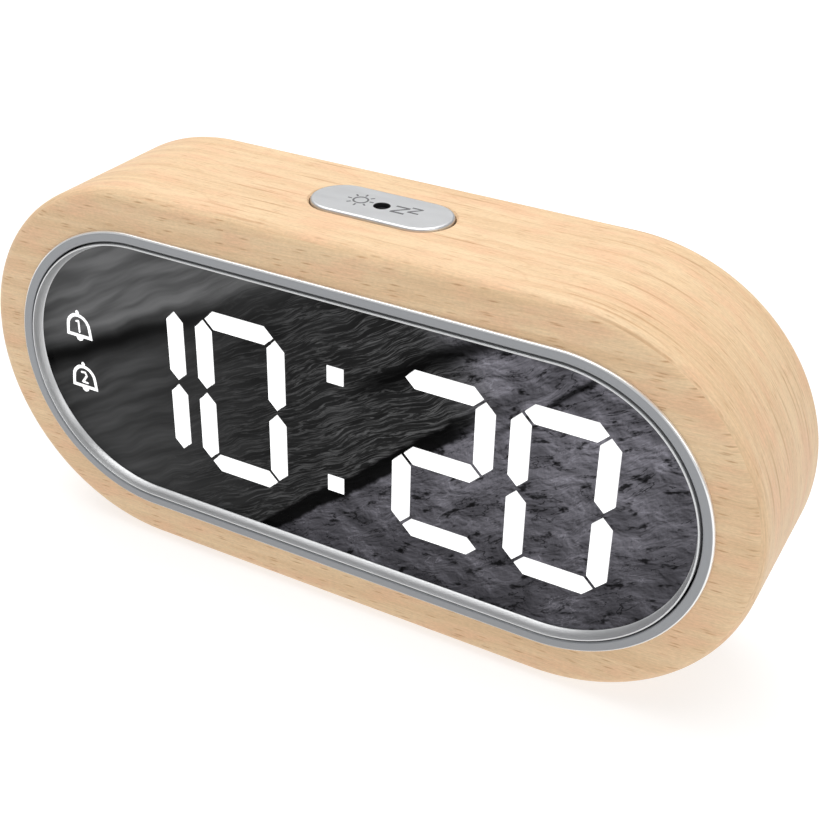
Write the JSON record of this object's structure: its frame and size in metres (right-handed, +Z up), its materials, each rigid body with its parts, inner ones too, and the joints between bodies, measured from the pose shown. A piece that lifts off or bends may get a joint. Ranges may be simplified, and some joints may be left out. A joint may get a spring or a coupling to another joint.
{
  "type": "alarm clock",
  "caption": "Bedside alarm clock: capsule-shaped beech case, metal bezel, dark lens with lit white numerals, press-bar snooze on top, keys and battery bay at the back.",
  "frame": {"origin": "centre of the footprint at the level that the feet stand on", "axes": "+Z up, +X right as you face the display, -Y the way the display looks"},
  "size_m": [0.169, 0.0378, 0.0815],
  "materials": {
    "beech_wood": "matt",
    "foot_rubber": "matt",
    "bezel_satin_metal": "satin",
    "liner_polished_metal": "polished",
    "lens_dark": "gloss",
    "lit_white": "lit white",
    "reflector_white": "matt",
    "circuit_board": "satin",
    "frame_plastic": "matt",
    "snooze_brushed_metal": "brushed",
    "spring_steel": "bright",
    "switch_plastic": "matt",
    "sensor_smoked": "gloss",
    "cover_plastic": "fine texture",
    "screw_steel": "blackened",
    "key_plastic": "matt",
    "jack_plastic": "satin",
    "usb_steel": "bright",
    "speaker_steel": "plated",
    "cone_paper": "matt",
    "ribbon_plastic": "satin",
    "cell_jacket": "gloss",
    "contact_nickel": "bright"
  },
  "bodies": {
    "clock": {"wood_case": "beech_wood", "foot_1": "foot_rubber", "foot_2": "foot_rubber", "foot_3": "foot_rubber", "foot_4": "foot_rubber", "bezel_ring": "bezel_satin_metal", "bezel_liner": "liner_polished_metal", "display_lens": "lens_dark", "digit_hour_tens": "lit_white", "digit_hour_units": "lit_white", "digit_minute_tens": "lit_white", "digit_minute_units": "lit_white", "colon_dots": "lit_white", "alarm_1_bell": "lit_white", "alarm_1_numeral": "lit_white", "alarm_2_bell": "lit_white", "alarm_2_numeral": "lit_white", "display_reflector": "reflector_white", "display_board": "circuit_board", "inner_frame": "frame_plastic", "snooze_spring_left": "spring_steel", "snooze_spring_right": "spring_steel", "snooze_switch": "switch_plastic", "snooze_board": "circuit_board", "light_sensor": "sensor_smoked", "light_pipe": "sensor_smoked", "rear_cover": "cover_plastic", "cover_screw_1": "screw_steel", "cover_screw_2": "screw_steel", "cover_screw_3": "screw_steel", "cover_screw_4": "screw_steel", "key_switch_set": "switch_plastic", "key_switch_alarm_1": "switch_plastic", "key_switch_alarm_2": "switch_plastic", "key_switch_up": "switch_plastic", "key_switch_down": "switch_plastic", "main_board": "circuit_board", "control_chip": "switch_plastic", "dc_jack": "jack_plastic", "usb_outlet": "usb_steel", "speaker": "speaker_steel", "speaker_cone": "cone_paper", "ribbon_cable": "ribbon_plastic", "battery_tray": "cover_plastic", "battery_cell_1": "cell_jacket", "battery_cell_2": "cell_jacket", "battery_cell_3": "cell_jacket", "contact_left_bridge": "contact_nickel", "contact_left_end": "contact_nickel", "contact_right_bridge": "contact_nickel", "contact_right_end": "contact_nickel"},
    "snooze_bar": {"snooze_plate": "snooze_brushed_metal", "snooze_carrier": "frame_plastic"},
    "door": {"battery_door": "cover_plastic"},
    "button_set": {"key_set": "key_plastic"},
    "button_alarm_1": {"key_alarm_1": "key_plastic"},
    "button_alarm_2": {"key_alarm_2": "key_plastic"},
    "button_up": {"key_up": "key_plastic"},
    "button_down": {"key_down": "key_plastic"}
  },
  "joints": [
    {"name": "snooze_press", "type": "slide", "parent": "clock", "child": "snooze_bar", "axis": [0, 0, -1], "range_m": [0, 0.0006], "stiffness_N_per_m": 600, "springref_m": -0.0008, "deforming": ["snooze_spring_left", "snooze_spring_right"]},
    {"name": "set_press", "type": "slide", "parent": "clock", "child": "button_set", "axis": [0, -1, 0], "range_m": [0, 0.0005], "stiffness_N_per_m": 400, "springref_m": -0.0005},
    {"name": "alarm_1_press", "type": "slide", "parent": "clock", "child": "button_alarm_1", "axis": [0, -1, 0], "range_m": [0, 0.0005], "stiffness_N_per_m": 400, "springref_m": -0.0005},
    {"name": "alarm_2_press", "type": "slide", "parent": "clock", "child": "button_alarm_2", "axis": [0, -1, 0], "range_m": [0, 0.0005], "stiffness_N_per_m": 400, "springref_m": -0.0005},
    {"name": "up_press", "type": "slide", "parent": "clock", "child": "button_up", "axis": [0, -1, 0], "range_m": [0, 0.0005], "stiffness_N_per_m": 400, "springref_m": -0.0005},
    {"name": "down_press", "type": "slide", "parent": "clock", "child": "button_down", "axis": [0, -1, 0], "range_m": [0, 0.0005], "stiffness_N_per_m": 400, "springref_m": -0.0005},
    {"name": "battery_door_hinge", "type": "hinge", "parent": "clock", "child": "door", "pos_m": [-0.0304, 0.01635, 0.01855], "axis": [-1, 0, 0], "range_deg": [0, 100]}
  ]
}
